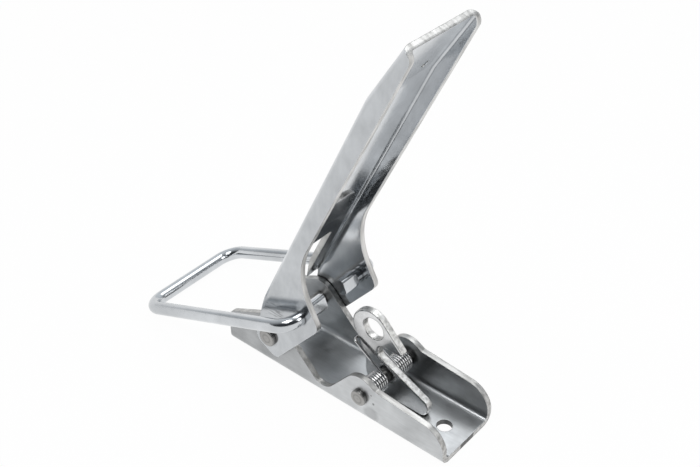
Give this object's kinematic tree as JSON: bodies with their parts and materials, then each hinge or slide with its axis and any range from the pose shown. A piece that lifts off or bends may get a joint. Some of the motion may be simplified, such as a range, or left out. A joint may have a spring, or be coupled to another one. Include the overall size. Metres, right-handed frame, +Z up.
{
  "type": "trailer drop side hook",
  "caption": "Over-centre hook for a trailer's drop side: a folded base channel, a raised folded lever, a swinging wire bail and a sprung ring catch that locks the closed lever.",
  "frame": {"origin": "on the underside of the base, at mid width, directly below the lever pivot", "axes": "+X points to the rear of the base, away from the bail; +Z points up, out of the surface it is bolted to; +Y completes the right-handed frame"},
  "size_m": [0.2194, 0.0814, 0.2353],
  "materials": {
    "zinc_base": "bright zinc plate, satin",
    "zinc_lever": "bright zinc plate, smooth",
    "zinc_wire": "bright zinc plate on drawn wire",
    "zinc_catch": "bright zinc plate with tumbled edges",
    "zinc_pin": "bright zinc plate on turned steel",
    "spring_steel": "bright spring wire"
  },
  "bodies": {
    "base": {"base_channel": "zinc_base", "pivot_pin": "zinc_pin", "catch_pin": "zinc_pin", "catch_spring": "spring_steel"},
    "lever": {"lever": "zinc_lever"},
    "bail": {"bail": "zinc_wire"},
    "catch": {"safety_catch": "zinc_catch"}
  },
  "joints": [
    {"name": "lever_pivot", "type": "hinge", "parent": "base", "child": "lever", "pos_m": [0, 0, 0.0261], "axis": [0, 1, 0], "range_deg": [-38, 43]},
    {"name": "bail_swing", "type": "hinge", "parent": "lever", "child": "bail", "pos_m": [0.02504, 0, 0.05364], "axis": [0, 1, 0], "range_deg": [-51, 120]},
    {"name": "catch_pivot", "type": "hinge", "parent": "base", "child": "catch", "pos_m": [0.06425, 0, 0.0166], "axis": [0, 1, 0], "range_deg": [-50, 0], "stiffness_Nm_per_rad": 0.3, "springref_deg": 17.19, "deforming": ["catch_spring"]}
  ]
}
